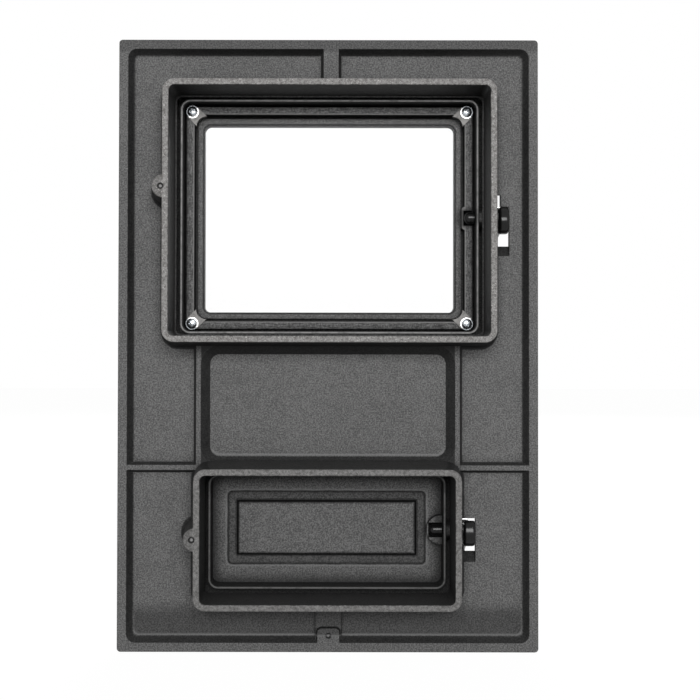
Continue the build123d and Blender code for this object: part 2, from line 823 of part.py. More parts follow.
fire_latch_pin = build_latch_pin(fire_head_left, fire_lip_inside, fire_lever_left, fire_door_z)
fire_latch_pin.label = "fire_latch_pin"
fire_latch_lever = build_lever(fire_lever_left, fire_door_z, 0, fire_hook_back, fire_neck_top)
fire_latch_lever.label = "fire_latch_lever"
fire_latch_washer = build_latch_washer(fire_leaf_right, fire_door_z)
fire_latch_washer.label = "fire_latch_washer"

ash_latch_pin = build_latch_pin(ash_head_left, ash_lip_inside, ash_lever_left, ash_door_z)
ash_latch_pin.label = "ash_latch_pin"
ash_latch_lever = build_lever(
    ash_lever_left, ash_door_z, ash_lever_turn, ash_hook_back, ash_neck_top
)
ash_latch_lever.label = "ash_latch_lever"
ash_latch_washer = build_latch_washer(ash_leaf_right, ash_door_z)
ash_latch_washer.label = "ash_latch_washer"

fire_upper_hinge_pin = build_hinge_pin(fire_hinge_x, fire_door_z + fire_hinge_spread)
fire_upper_hinge_pin.label = "fire_upper_hinge_pin"
fire_lower_hinge_pin = build_hinge_pin(fire_hinge_x, fire_door_z - fire_hinge_spread)
fire_lower_hinge_pin.label = "fire_lower_hinge_pin"
ash_upper_hinge_pin = build_hinge_pin(ash_hinge_x, ash_door_z + ash_hinge_spread)
ash_upper_hinge_pin.label = "ash_upper_hinge_pin"
ash_lower_hinge_pin = build_hinge_pin(ash_hinge_x, ash_door_z - ash_hinge_spread)
ash_lower_hinge_pin.label = "ash_lower_hinge_pin"

os.makedirs("parts", exist_ok=True)
for piece in (
    front_plate.part,
    fire_door_leaf.part,
    ash_door_leaf.part,
    window_glass.part,
    *clips,
    clip_washers.part,
    clip_screws.part,
    fire_latch_pin,
    fire_latch_lever,
    fire_latch_washer,
    ash_latch_pin,
    ash_latch_lever,
    ash_latch_washer,
    fire_upper_hinge_pin,
    fire_lower_hinge_pin,
    ash_upper_hinge_pin,
    ash_lower_hinge_pin,
):
    export_step(piece, f"parts/{piece.label}.step")
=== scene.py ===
"""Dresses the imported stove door, seen from behind: cast iron, black latches, zinc screws and glass."""

import logging
import math
from collections.abc import Callable
from dataclasses import dataclass, field
from enum import Enum

import bmesh
import bpy
import numpy as np
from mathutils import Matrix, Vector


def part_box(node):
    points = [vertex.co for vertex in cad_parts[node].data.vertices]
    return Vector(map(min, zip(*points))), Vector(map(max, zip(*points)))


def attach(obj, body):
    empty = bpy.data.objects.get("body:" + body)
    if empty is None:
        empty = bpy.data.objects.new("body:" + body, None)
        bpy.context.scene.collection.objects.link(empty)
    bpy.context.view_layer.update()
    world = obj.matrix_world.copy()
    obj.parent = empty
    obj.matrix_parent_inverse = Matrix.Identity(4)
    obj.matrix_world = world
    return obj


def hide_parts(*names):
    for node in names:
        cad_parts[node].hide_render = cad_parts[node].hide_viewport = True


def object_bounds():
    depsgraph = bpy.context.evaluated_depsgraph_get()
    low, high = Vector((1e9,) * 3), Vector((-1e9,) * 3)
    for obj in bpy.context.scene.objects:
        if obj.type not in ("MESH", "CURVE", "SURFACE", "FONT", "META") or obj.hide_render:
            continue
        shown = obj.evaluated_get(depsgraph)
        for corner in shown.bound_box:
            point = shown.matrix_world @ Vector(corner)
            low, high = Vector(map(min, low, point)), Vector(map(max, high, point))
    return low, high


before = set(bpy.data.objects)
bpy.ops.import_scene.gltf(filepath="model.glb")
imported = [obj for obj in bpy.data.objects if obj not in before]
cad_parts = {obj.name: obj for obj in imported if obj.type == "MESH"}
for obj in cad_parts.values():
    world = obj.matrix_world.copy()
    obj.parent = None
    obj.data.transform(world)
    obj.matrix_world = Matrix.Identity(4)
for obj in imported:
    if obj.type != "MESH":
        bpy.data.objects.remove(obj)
CAD_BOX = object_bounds()
log = logging.getLogger("stove_door")

Colour = tuple[float, float, float, float]
Point = tuple[float, float, float]


class Body(Enum):
    """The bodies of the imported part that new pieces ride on."""

    FIRE_DOOR = "fire_door"
    FIRE_LATCH = "fire_latch"
    ASH_LATCH = "ash_latch"


class Slot(Enum):
    """Names for the finishes of new pieces."""

    ZINC = "zinc"
    BLACK_LATCH = "black_latch"


def grey(level: float, warmth: float = 0.0) -> Colour:
    """A linear grey of that level, made warmer or, below zero, cooler by a share of it."""
    return (level * (1 + warmth), level, level * (1 - warmth), 1.0)


# Shader maths


@dataclass(frozen=True)
class Sock:
    """One output socket of a node graph, on which Python maths adds Math nodes."""

    graph: "Graph"
    link: bpy.types.NodeSocket

    def _math(self, operation: str, *values: "Sock | float") -> "Sock":
        """Adds one Math node on these values."""
        return self.graph.add("ShaderNodeMath", {"operation": operation}, dict(enumerate(values)))

    def __add__(self, other: "Sock | float") -> "Sock":
        """self + other."""
        return self._math("ADD", self, other)

    def __radd__(self, other: float) -> "Sock":
        """other + self."""
        return self._math("ADD", other, self)

    def __sub__(self, other: "Sock | float") -> "Sock":
        """self - other."""
        return self._math("SUBTRACT", self, other)

    def __rsub__(self, other: float) -> "Sock":
        """other - self."""
        return self._math("SUBTRACT", other, self)

    def __mul__(self, other: "Sock | float") -> "Sock":
        """self * other."""
        return self._math("MULTIPLY", self, other)

    def __rmul__(self, other: float) -> "Sock":
        """other * self."""
        return self._math("MULTIPLY", other, self)

    def __pow__(self, other: float) -> "Sock":
        """self to the power of other."""
        return self._math("POWER", self, other)

    def size(self) -> "Sock":
        """The value without its sign."""
        return self._math("ABSOLUTE", self)

    def most(self, other: "Sock | float") -> "Sock":
        """The larger of the two values."""
        return self._math("MAXIMUM", self, other)

    def least(self, other: "Sock | float") -> "Sock":
        """The smaller of the two values."""
        return self._math("MINIMUM", self, other)

    def rise(self, low: float, high: float) -> "Sock":
        """0 at low and 1 at high, with a smooth step between; low may be the larger."""
        settings = {"interpolation_type": "SMOOTHSTEP", "clamp": True}
        values = {"Value": self, "From Min": low, "From Max": high, "To Min": 0.0, "To Max": 1.0}
        return self.graph.add("ShaderNodeMapRange", settings, values)


class Graph:
    """The node graph of one material or of the world."""

    def __init__(self, holder: bpy.types.Material | bpy.types.World) -> None:
        """Starts an empty graph.

        Args:
            holder: the new material or world that it belongs to.
        """
        self.holder = holder
        self.holder.use_nodes = True
        self.tree = self.holder.node_tree
        self.tree.nodes.clear()
        self._kept: dict[str, Sock] = {}

    def add(
        self, kind: str, settings: dict | None = None, sockets: dict | None = None, out: int | str = 0
    ) -> Sock:
        """Adds one node.

        Args:
            kind: the node's type.
            settings: its own settings, set before its sockets.
            sockets: a value or a Sock for each of its inputs, by name or number.
            out: the output that is wanted.

        Returns:
            That output.
        """
        node = self.tree.nodes.new(kind)
        for name, value in (settings or {}).items():
            setattr(node, name, value)
        for key, value in (sockets or {}).items():
            if isinstance(value, Sock):
                self.tree.links.new(value.link, node.inputs[key])
            else:
                node.inputs[key].default_value = value
        return Sock(self, node.outputs[out] if len(node.outputs) else None)

    def _once(self, key: str, make: Callable[[], Sock]) -> Sock:
        """Keeps a socket that many formulas share, so that its node is added once."""
        if key not in self._kept:
            self._kept[key] = make()
        return self._kept[key]

    def places(self) -> Sock:
        """The surface's own coordinates, in metres."""
        return self._once("places", lambda: self.add("ShaderNodeTexCoord", out="Object"))

    def axis(self, name: str) -> Sock:
        """One of the surface's own coordinates: X, Y or Z."""
        sockets = {"Vector": self.places()}
        return self._once(name, lambda: self.add("ShaderNodeSeparateXYZ", None, sockets, out=name))

    def facing(self, name: str) -> Sock:
        """One part of the surface's own direction: X, Y or Z."""
        normal = self._once("normal", lambda: self.add("ShaderNodeTexCoord", out="Normal"))
        kind, sockets = "ShaderNodeSeparateXYZ", {"Vector": normal}
        return self._once("facing " + name, lambda: self.add(kind, None, sockets, out=name))

    def stretched(self, scale: Point, lean: float = 0.0) -> Sock:
        """The surface's coordinates turned about Y by some degrees, then stretched on each axis."""
        inverse = tuple(1 / part for part in scale)
        values = {"Vector": self.places(), "Rotation": (0, math.radians(lean), 0), "Scale": inverse}
        return self.add("ShaderNodeMapping", {"vector_type": "TEXTURE"}, values)

    def noise(
        self, per_metre: float, detail: float = 2.0, rough: float = 0.5, at: Sock | None = None
    ) -> Sock:
        """Cloudy noise from 0 to 1.

        Args:
            per_metre: its cells to a metre.
            detail: how many finer layers lie on it.
            rough: how strong those are.
            at: the coordinates, where they are not the surface's own.

        Returns:
            The noise.
        """
        values = {"Vector": at or self.places(), "Scale": per_metre, "Detail": detail, "Roughness": rough}
        return self.add("ShaderNodeTexNoise", {"noise_dimensions": "3D"}, values)

    def pits(self, per_metre: float) -> Sock:
        """Distance to the nearest of many scattered points, in cells."""
        values = {"Vector": self.places(), "Scale": per_metre}
        return self.add("ShaderNodeTexVoronoi", {"feature": "F1"}, values, out="Distance")

    def open_air(self, reach: float) -> Sock:
        """How open the surface lies to the air, from 0 in a deep corner to 1, judged within a reach."""
        settings = {"samples": 12, "only_local": True}
        return self.add("ShaderNodeAmbientOcclusion", settings, {"Distance": reach}, out="AO")

    def soft_edges(self, radius: float) -> Sock:
        """Normals that are rounded over the piece's edges by that radius."""
        return self.add("ShaderNodeBevel", {"samples": 6}, {"Radius": radius})

    def bump(self, height: Sock, normal: Sock | None = None) -> Sock:
        """The normal under a height in metres, standing on another normal where one is given."""
        values = {"Strength": 1.0, "Distance": 1.0, "Height": height}
        if normal:
            values["Normal"] = normal
        return self.add("ShaderNodeBump", None, values)

    def mixed(self, first: "Sock | Colour", second: "Sock | Colour", share: "Sock | float") -> Sock:
        """The first colour, turned into the second by that share."""
        return self.add("ShaderNodeMix", {"data_type": "RGBA"}, {0: share, 6: first, 7: second}, out=2)

    def times(self, colour: "Sock | Colour", level: "Sock | float") -> Sock:
        """The colour made darker or lighter by a factor."""
        return self.add("ShaderNodeVectorMath", {"operation": "SCALE"}, {0: colour, "Scale": level})

    def looked_at(self) -> Sock:
        """1 for the camera's rays and for those that gloss and glass send on, 0 for light."""
        kinds = ("Camera", "Glossy", "Transmission")
        camera, glossy, sent = (self.add("ShaderNodeLightPath", out=f"Is {kind} Ray") for kind in kinds)
        return camera.most(glossy).most(sent)

    def surface(self, sockets: dict) -> bpy.types.Material:
        """Ends the graph in one shader with these values and links."""
        return self.end(self.add("ShaderNodeBsdfPrincipled", None, sockets))

    def end(self, shader: Sock) -> bpy.types.Material | bpy.types.World:
        """Joins a shader to the graph's output and returns what the graph belongs to."""
        kind = "World" if isinstance(self.holder, bpy.types.World) else "Material"
        self.add(f"ShaderNodeOutput{kind}", None, {"Surface": shader})
        return self.holder


@dataclass(frozen=True)
class Outline:
    """A rounded rectangle in the X and Z plane, in metres; a circle is one whose corners meet."""

    across: float
    up: float
    width: float
    height: float
    corner: float

    def distance(self, graph: Graph) -> Sock:
        """Works out the distance to the outline, negative inside it.

        With d the distance past the straight part on each axis, it is the length of the positive d,
        plus the larger d where both are negative, less the corner's radius.

        Args:
            graph: the graph that it is for.

        Returns:
            The distance in metres.
        """
        past_x = (graph.axis("X") - self.across).size() - (self.width / 2 - self.corner)
        past_z = (graph.axis("Z") - self.up).size() - (self.height / 2 - self.corner)
        outside = (past_x.most(0.0) ** 2 + past_z.most(0.0) ** 2) ** 0.5
        return outside + past_x.most(past_z).least(0.0) - self.corner

    def upright(self, graph: Graph) -> Sock:
        """1 beside the outline's upright sides, 0 beside the level ones."""
        past_x = (graph.axis("X") - self.across).size() - self.width / 2
        past_z = (graph.axis("Z") - self.up).size() - self.height / 2
        return (past_x - past_z).rise(-0.001, 0.001)


@dataclass(frozen=True)
class Line:
    """A soft line along an outline: where its middle lies, its half widths and its strength."""

    middle: float
    full: float
    faded: float
    share: float

    def on(self, distance: Sock) -> Sock:
        """How strong the line is at that distance from the outline."""
        return (distance - self.middle).size().rise(self.faded, self.full) * self.share


def ring(x: float, z: float, radius: float) -> Outline:
    """A circle about X and Z."""
    return Outline(x, z, 2 * radius, 2 * radius, radius)


# Finishes


@dataclass(frozen=True)
class CastIron:
    """Graphite-dark cast iron: sand grain, soft mottling, and painted shade on its walls, slopes and roots.
    """

    name: str
    dark: float = 0.05
    light: float = 0.142
    # wall and slope: shares of the colour that painted shade leaves on steep faces and on slopes
    wall: float = 0.2
    slope: float = 0.15
    # how far painted shade reaches out from roots, and the least share of the colour it leaves there
    shade_reach: float = 0.011
    shade_left: float = 0.3
    rough: float = 0.62
    gloss: float = 0.15
    edge_radius: float = 0.0016
    grain_height: float = 0.0002
    wave_height: float = 0.0005
    marks_end: float = 0.008

    def _height(self, graph: Graph) -> Sock:
        """The casting's skin: a slow wave, lumps of a few millimetres and sand grain, in metres."""
        wave = graph.noise(34.0, 2.0) * self.wave_height
        lumps = graph.noise(240.0, 2.0, 0.6) * (self.grain_height * 1.4)
        sand = graph.noise(760.0, 3.0, 0.62) * self.grain_height
        return wave + lumps + sand

    def _skin(self, graph: Graph, cloud: Sock, mottle: Sock) -> Sock:
        """Works out the clean casting's colour.

        Grain, mottling and clouds mix a dark and a lighter grey. Pale grains and dark pores lie on it.

        Args:
            graph: the material's graph.
            cloud: the slow noise.
            mottle: the middling noise.

        Returns:
            The colour.
        """
        speck = graph.noise(820.0, 3.0, 0.6)
        tone = (cloud * 0.08 + mottle * 0.14 + speck * 0.78).rise(0.38, 0.63)
        colour = graph.mixed(grey(self.dark), grey(self.light, 0.006), tone)
        pale = graph.noise(1050.0, 1.0).rise(0.66, 0.76) * 0.5
        colour = graph.mixed(colour, grey(0.27, 0.01), pale)
        pore = graph.pits(420.0).rise(0.17, 0.08) * cloud.rise(0.45, 0.65)
        return graph.mixed(colour, grey(0.02), pore * 0.7)

    def _painted_shade(self, graph: Graph) -> Sock:
        """Works out how much of the colour is left under painted shade.

        Steep faces keep the wall's share and slopes a smaller one, more of it where they face up, as painted
        light from above. A level face keeps all of it in the open, and less towards a root, as painted shade.

        Args:
            graph: the material's graph.

        Returns:
            The share that is left.
        """
        level = graph.facing("Y").size()
        # painted shade on steep faces and slopes
        left = level.rise(0.3, 0.5) * (self.slope - self.wall) + self.wall
        # painted light from above: faces that look up keep more colour
        left = left * (1.0 + graph.facing("Z") * 0.5)
        left = left + level.rise(0.86, 0.985) * (1.0 - left)
        # painted shade towards roots, judged by ambient occlusion
        root = graph.open_air(self.shade_reach).rise(0.36, 0.965) * (1.0 - self.shade_left) + self.shade_left
        return left.least(root)

    def _marks(self, graph: Graph, colour: Sock) -> Sock:
        """Adds what only one casting's back has; the plain iron has nothing."""
        return colour

    def material(self) -> bpy.types.Material:
        """Builds the finish.

        Returns:
            The new material.
        """
        graph = Graph(bpy.data.materials.new(self.name))
        cloud = graph.noise(24.0, 4.0, 0.6)
        mottle = graph.noise(150.0, 4.0, 0.65)
        # the casting's colour under painted shade
        colour = graph.times(self._skin(graph, cloud, mottle), self._painted_shade(graph))
        behind = graph.axis("Y").rise(self.marks_end + 0.0005, self.marks_end)
        values = {
            "Base Color": graph.mixed(colour, self._marks(graph, colour), behind),
            "Roughness": self.rough + (mottle - 0.5) * 0.24,
            "Specular IOR Level": self.gloss,
            "Normal": graph.bump(self._height(graph), graph.soft_edges(self.edge_radius)),
        }
        return graph.surface(values)


@dataclass(frozen=True)
class PlateIron(CastIron):
    """The front plate's iron, with worn, mottled collar rims, its own dimples, and painted shade and
    highlights about its pocket and recess.
    """

    fire_rim: float = 0.175
    ash_rim: float = 0.13
    rim_face: float = -0.0347
    rim_width: float = 0.0053
    fire_collar: Outline = Outline(0.001, 0.1087, 0.2706, 0.2131, 0.0098)
    ash_collar: Outline = Outline(-0.0002, -0.157, 0.2161, 0.1138, 0.0098)
    pocket: Outline = Outline(0.0, -0.0505, 0.197, 0.085, 0.008)
    pocket_mouth: Outline = Outline(0.0, -0.0505, 0.212, 0.1, 0.0155)
    recess: Outline = Outline(0.0, 0.0, 0.325, 0.485, 0.005)
    dimples: tuple[Outline, ...] = (
        ring(-0.1355, 0.128, 0.0023),
        ring(-0.10945, -0.1568, 0.0023),
        ring(0.0006, -0.2415, 0.0021),
    )
    dimple_ring: Line = Line(-0.0002, 0.0003, 0.0009, 0.85)
    lit_edge: Line = Line(-0.0013, 0.0003, 0.0013, 0.5)
    pocket_low: float = -0.086
    recess_low: float = -0.236
    edge_blend: float = 0.003
    # where and how strongly painted shade darkens the recess's foot and the plate's top
    foot_from: float = -0.212
    foot_to: float = -0.226
    foot_share: float = 0.5
    top_from: float = 0.243
    top_to: float = 0.247
    top_share: float = 0.3

    def _rims(self, graph: Graph, colour: Sock) -> Sock:
        """Wears the collars' rims.

        Two greys are mottled finely, crossed by two sets of leaning scratches, dotted with bright
        grains and nicked dark along the inner edge, whose line wavers by a noise.

        Args:
            graph: the material's graph.
            colour: the casting's colour.

        Returns:
            The colour with the rims on it.
        """
        upper = graph.axis("Z").rise(-0.06, -0.03)
        low = graph.mixed(grey(self.ash_rim * 0.55, 0.03), grey(self.fire_rim * 0.55, 0.05), upper)
        high = graph.mixed(grey(self.ash_rim * 1.35, 0.015), grey(self.fire_rim * 1.35, 0.02), upper)
        patch = graph.noise(480.0, 5.0, 0.8)
        worn = graph.mixed(low, high, patch.rise(0.36, 0.64))
        for lean, share in ((38.0, 0.4), (-52.0, 0.3)):
            streak = graph.noise(1.0, 2.0, 0.55, at=graph.stretched((150.0, 400.0, 1700.0), lean))
            worn = graph.mixed(worn, grey(self.fire_rim * 2.4, 0.02), streak.rise(0.57, 0.68) * patch * share)
        bright = graph.noise(1300.0, 1.0).rise(0.64, 0.72)
        worn = graph.mixed(worn, grey(0.55, 0.03), bright * upper * 0.5 + bright * 0.15)
        inside = self.fire_collar.distance(graph).least(self.ash_collar.distance(graph))
        waver = (graph.noise(420.0, 3.0, 0.7) - 0.5) * 0.0022
        nick = (waver - inside).rise(self.rim_width - 0.0007, self.rim_width + 0.0001)
        worn = graph.mixed(worn, grey(0.03), nick)
        worn = graph.times(worn, 1.0 - inside.rise(0.0, 0.0008) * 0.25)
        return graph.mixed(colour, worn, graph.axis("Y").rise(self.rim_face + 0.0004, self.rim_face))

    def _dimples(self, graph: Graph, colour: Sock) -> Sock:
        """Rings the dimples dark and lights their middles.

        Args:
            graph: the material's graph.
            colour: the colour so far.

        Returns:
            The colour with them on it.
        """
        dimple = self.dimples[0].distance(graph)
        for other in self.dimples[1:]:
            dimple = dimple.least(other.distance(graph))
        colour = graph.mixed(colour, grey(0.012), self.dimple_ring.on(dimple))
        return graph.mixed(colour, grey(0.24, 0.01), dimple.rise(-0.001, -0.0015) * 0.8)

    def _corners(self, graph: Graph, colour: Sock) -> Sock:
        """Paints shade into what lies between the pocket's rounded mouth and a square one."""
        mouth = self.pocket_mouth
        square = Outline(mouth.across, mouth.up, mouth.width, mouth.height, 0.001)
        corner = mouth.distance(graph).rise(-0.0003, 0.0003) * square.distance(graph).rise(0.0, -0.0006)
        # painted shade in the pocket's corners
        return graph.mixed(colour, grey(0.014), corner)

    def _lower_edges(self, graph: Graph, colour: Sock) -> Sock:
        """Paints a highlight along the lower edges of the pocket's and the recess's floors."""
        for outline, below in ((self.pocket, self.pocket_low), (self.recess, self.recess_low)):
            low = graph.axis("Z").rise(below, below - self.edge_blend)
            # painted highlight along the lower edge
            colour = graph.mixed(colour, grey(0.21), self.lit_edge.on(outline.distance(graph)) * low)
        return colour

    def _ends(self, graph: Graph) -> Sock:
        """How far painted shade darkens the recess's foot and the plate's top edge."""
        # painted shade at the recess's foot and along the plate's top edge
        foot = graph.axis("Z").rise(self.foot_from, self.foot_to)
        foot = foot * self.recess.distance(graph).rise(0.0, -0.002) * self.foot_share
        return foot.most(graph.axis("Z").rise(self.top_from, self.top_to) * self.top_share)

    def _marks(self, graph: Graph, colour: Sock) -> Sock:
        """Adds the worn rims, dimples, painted shade in the corners and at the ends, and painted highlights
        on the lower edges.

        Args:
            graph: the material's graph.
            colour: the colour so far.

        Returns:
            The colour with them on it.
        """
        colour = self._dimples(graph, self._rims(graph, colour))
        colour = self._lower_edges(graph, self._corners(graph, colour))
        # painted shade at the ends
        return graph.times(colour, 1.0 - self._ends(graph))


@dataclass(frozen=True)
class DoorIron(CastIron):
    """A door's iron, whose lip has a pale ridge: a painted highlight, broken by wear."""

    lip: Outline = Outline(0.001, 0.108, 0.2514, 0.1976, 0.0085)
    lip_wall: float = 0.0022
    lip_face: float = 0.0081
    ridge: float = 0.27
    marks_end: float = 0.0335

    def _marks(self, graph: Graph, colour: Sock) -> Sock:
        """Paints shade over the lip's end face and a highlight along its middle, broken by noise as by wear.

        Args:
            graph: the material's graph.
            colour: the colour so far.

        Returns:
            The colour with them on it.
        """
        # breaks the painted highlight as wear would
        rubbed_highlight = graph.noise(160.0, 3.0, 0.7).rise(0.25, 0.6) * 0.6 + 0.4
        ridge = Line(-self.lip_wall / 2, 0.0002, 0.001, 1.0).on(self.lip.distance(graph))
        # painted shade on the lip's end face, painted highlight on its ridge
        end = graph.mixed(grey(0.035), grey(self.ridge, 0.01), ridge * rubbed_highlight)
        return graph.mixed(colour, end, graph.axis("Y").rise(self.lip_face + 0.0003, self.lip_face))


@dataclass(frozen=True)
class FireDoorIron(DoorIron):
    """The fire door's iron, with brush marks on its ledge and painted shade in a line round the window."""

    ledge: Outline = Outline(0.001, 0.108, 0.2304, 0.1766, 0.009)
    ledge_face: float = 0.02
    window: Outline = Outline(0.001, 0.108, 0.2144, 0.1606, 0.0052)
    pin_pocket: Outline = ring(0.1175, 0.108, 0.009)

    def _marks(self, graph: Graph, colour: Sock) -> Sock:
        """Adds brush marks along the ledge, a painted highlight on its edge, and painted shade at the pin and
        by the window.

        Args:
            graph: the material's graph.
            colour: the colour so far.

        Returns:
            The colour with them on it.
        """
        colour = super()._marks(graph, colour)
        face = (graph.axis("Y") - self.ledge_face).size().rise(0.0005, 0.0003)
        past = self.ledge.distance(graph)
        level = graph.noise(1.0, 3.0, 0.6, at=graph.stretched((110.0, 300.0, 1500.0)))
        upright = graph.noise(1.0, 3.0, 0.6, at=graph.stretched((1500.0, 300.0, 110.0)))
        side = self.ledge.upright(graph)
        brushed = level + side * (upright - level)
        colour = graph.times(colour, 1.0 + face * (brushed.rise(0.35, 0.65) * 0.9 - 0.45))
        # painted highlight along the ledge's inner edge
        edge = past.rise(0.0011, 0.0004) * face
        colour = graph.mixed(colour, grey(0.22, 0.01), edge * 0.7)
        # painted shade round the pin's pocket and beside the window
        around_pin = self.pin_pocket.distance(graph).rise(0.0022, -0.003)
        border = self.window.distance(graph).rise(0.0021, 0.0012)
        return graph.times(colour, 1.0 - (around_pin * 0.7).most(border * 0.9))


@dataclass(frozen=True)
class AshDoorIron(DoorIron):
    """The ash door's iron, with painted shade and a painted highlight along its stepped panel."""

    lip: Outline = Outline(-0.0006, -0.1566, 0.1994, 0.096, 0.0085)
    ridge: float = 0.2
    marks_end: float = 0.0292
    panel: Outline = Outline(-0.001, -0.1559, 0.1687, 0.0623, 0.004)
    middle: Outline = Outline(-0.001, -0.1559, 0.1531, 0.0467, 0.001)
    waver: float = 0.0024
    lit_step: Line = Line(0.001, 0.0003, 0.0015, 0.5)
    step: Line = Line(-0.0007, 0.0005, 0.0019, 0.66)
    groove: Line = Line(-0.0004, 0.0011, 0.0033, 0.78)
    band_share: float = 0.42
    shade_share: float = 0.42

    def _marks(self, graph: Graph, colour: Sock) -> Sock:
        """Paints shade along the panel's two wavering steps and on the band between them, a highlight beside
        the outer step, and shade towards the lip.

        Args:
            graph: the material's graph.
            colour: the colour so far.

        Returns:
            The colour with them on it.
        """
        colour = super()._marks(graph, colour)
        waver = (graph.noise(90.0, 4.0, 0.7) - 0.5) * self.waver
        outer = self.panel.distance(graph) + waver
        inner = self.middle.distance(graph) + waver
        # painted highlight beside the outer step
        colour = graph.mixed(colour, grey(0.17), self.lit_step.on(outer))
        # painted shade along the steps, on the band between them and towards the lip
        band = outer.rise(0.0, -0.0008) * inner.rise(0.0, 0.0008) * self.band_share
        shade = self.lip.distance(graph).rise(-0.016, -0.002) * self.shade_share
        dark = self.step.on(outer).most(self.groove.on(inner)).most(band).most(shade)
        return graph.times(colour, 1.0 - dark)


@dataclass(frozen=True)
class BlackGloss:
    """Glossy black enamel over small forgings, with faint waves, dust and worn corners."""

    name: str = "black_gloss"
    colour: float = 0.005
    rough: float = 0.13
    edge_radius: float = 0.0006

    def material(self) -> bpy.types.Material:
        """Builds the finish.

        Returns:
            The new material.
        """
        graph = Graph(bpy.data.materials.new(self.name))
        dust = graph.noise(900.0, 3.0, 0.6).rise(0.55, 0.8)
        smear = graph.noise(120.0, 3.0, 0.6)
        wave = graph.noise(260.0, 2.0) * 0.00006 + graph.noise(1500.0, 2.0) * 0.000006
        values = {
            "Base Color": graph.mixed(grey(self.colour), grey(self.colour * 4), dust * 0.3),
            "Roughness": self.rough + smear * 0.1 + dust * 0.16,
            "Specular IOR Level": 0.22,
            "Normal": graph.bump(wave, graph.soft_edges(self.edge_radius)),
        }
        return graph.surface(values)


@dataclass(frozen=True)
class Plated:
    """A bright plated or plain steel finish with fine turning marks, dull spots and painted shade on its
    sides.
    """

    name: str
    level: float
    warmth: float
    rough: float
    metal: float = 1.0
    spots: float = 0.4
    # share of the colour that painted shade leaves on the sides
    side: float = 0.35

    def _painted_lighting(self, graph: Graph, colour: Sock) -> Sock:
        """Paints shade on the faces that stand edge on to the room and the stove."""
        flat = graph.facing("Y").size().rise(0.4, 0.8)
        return graph.times(colour, flat * (1.0 - self.side) + self.side)

    def material(self) -> bpy.types.Material:
        """Builds the finish.

        Returns:
            The new material.
        """
        graph = Graph(bpy.data.materials.new(self.name))
        cloud = graph.noise(420.0, 3.0, 0.6)
        fine = graph.noise(2600.0, 2.0, 0.6)
        dull = cloud.rise(0.45, 0.75) * self.spots
        colour = graph.mixed(grey(self.level, self.warmth), grey(self.level * 0.45, self.warmth), dull)
        values = {
            # colour with painted shade on the sides
            "Base Color": self._painted_lighting(graph, colour),
            "Metallic": self.metal,
            "Roughness": self.rough + fine * 0.12 + dull * 0.25,
            "Normal": graph.bump(fine * 0.000008 + cloud * 0.00002),
        }
        return graph.surface(values)


@dataclass(frozen=True)
class HeadZinc(Plated):
    """Zinc on the screws and washers, with a painted highlight in a bright crescent towards the window's
    middle.
    """

    middle_x: float = 0.001
    middle_z: float = 0.108
    screw_x: float = 0.1165
    screw_z: float = 0.09
    # brightness of the painted highlight
    crescent: float = 0.75
    head: float = 0.0044

    def _painted_lighting(self, graph: Graph, colour: Sock) -> Sock:
        """Paints a highlight on the flank and rim on the window's side, and shade on the rest of the flank,
        by the place round each screw.

        All four screws fold onto one, as they stand evenly about the window's middle. The sum of the
        two offsets from it is low towards the window, and their length is the distance.

        Args:
            graph: the material's graph.
            colour: the zinc's colour.

        Returns:
            The colour with the crescent on it.
        """
        across = (graph.axis("X") - self.middle_x).size() - self.screw_x
        up = (graph.axis("Z") - self.middle_z).size() - self.screw_z
        out = (across**2 + up**2) ** 0.5
        flank = out.rise(self.head - 0.0007, self.head + 0.0002)
        near = (across + up).rise(0.001, -0.0035)
        # painted shade on the flank away from the window
        colour = graph.times(colour, 1.0 - flank * (1.0 - near) * 0.45)
        # painted highlight on the window's side
        return graph.mixed(colour, grey(self.crescent), flank * near)


@dataclass(frozen=True)
class StoveGlass:
    """Clear ceramic glass, of which only a faint haze and its gloss are seen."""

    name: str = "stove_glass"
    alpha: float = 0.02

    def material(self) -> bpy.types.Material:
        """Builds the finish.

        Returns:
            The new material.
        """
        graph = Graph(bpy.data.materials.new(self.name))
        haze = graph.noise(18.0, 3.0, 0.6)
        values = {
            "Base Color": grey(0.93, -0.004),
            "Roughness": 0.05 + haze * 0.06,
            "Alpha": self.alpha + (haze - 0.5) * 0.02,
            "Specular IOR Level": 0.4,
        }
        return graph.surface(values)


# Meshes


@dataclass
class Shell:
    """Points and faces that are gathered for one piece."""

    points: list[np.ndarray] = field(default_factory=list)
    faces: list[np.ndarray] = field(default_factory=list)
    count: int = 0

    def grid(self, rows: np.ndarray) -> None:
        """Adds a grid that closes on itself along its second direction.

        Args:
            rows: points as an array of rings, each with the same number of points.
        """
        rings, around = rows.shape[:2]
        index = np.arange(rings * around).reshape(rings, around) + self.count
        beside = np.roll(index, -1, axis=1)
        quads = np.stack([index[:-1], beside[:-1], beside[1:], index[1:]], axis=-1).reshape(-1, 4)
        self.points.append(rows.reshape(-1, 3))
        self.faces.append(quads)
        self.count += rings * around

    def piece(self, name: str, material: bpy.types.Material, body: Body, slot: Slot) -> bpy.types.Object:
        """Makes the piece.

        Args:
            name: the piece's name.
            material: its finish.
            body: the CAD body that it rides on.
            slot: not used.

        Returns:
            The piece, merged at its seams and poles, at the origin.
        """
        mesh = bpy.data.meshes.new(name)
        mesh.from_pydata(np.concatenate(self.points).tolist(), [], np.concatenate(self.faces).tolist())
        work = bmesh.new()
        work.from_mesh(mesh)
        bmesh.ops.remove_doubles(work, verts=work.verts, dist=2e-6)
        bmesh.ops.recalc_face_normals(work, faces=work.faces)
        work.to_mesh(mesh)
        work.free()
        return placed(name, mesh, material, body)


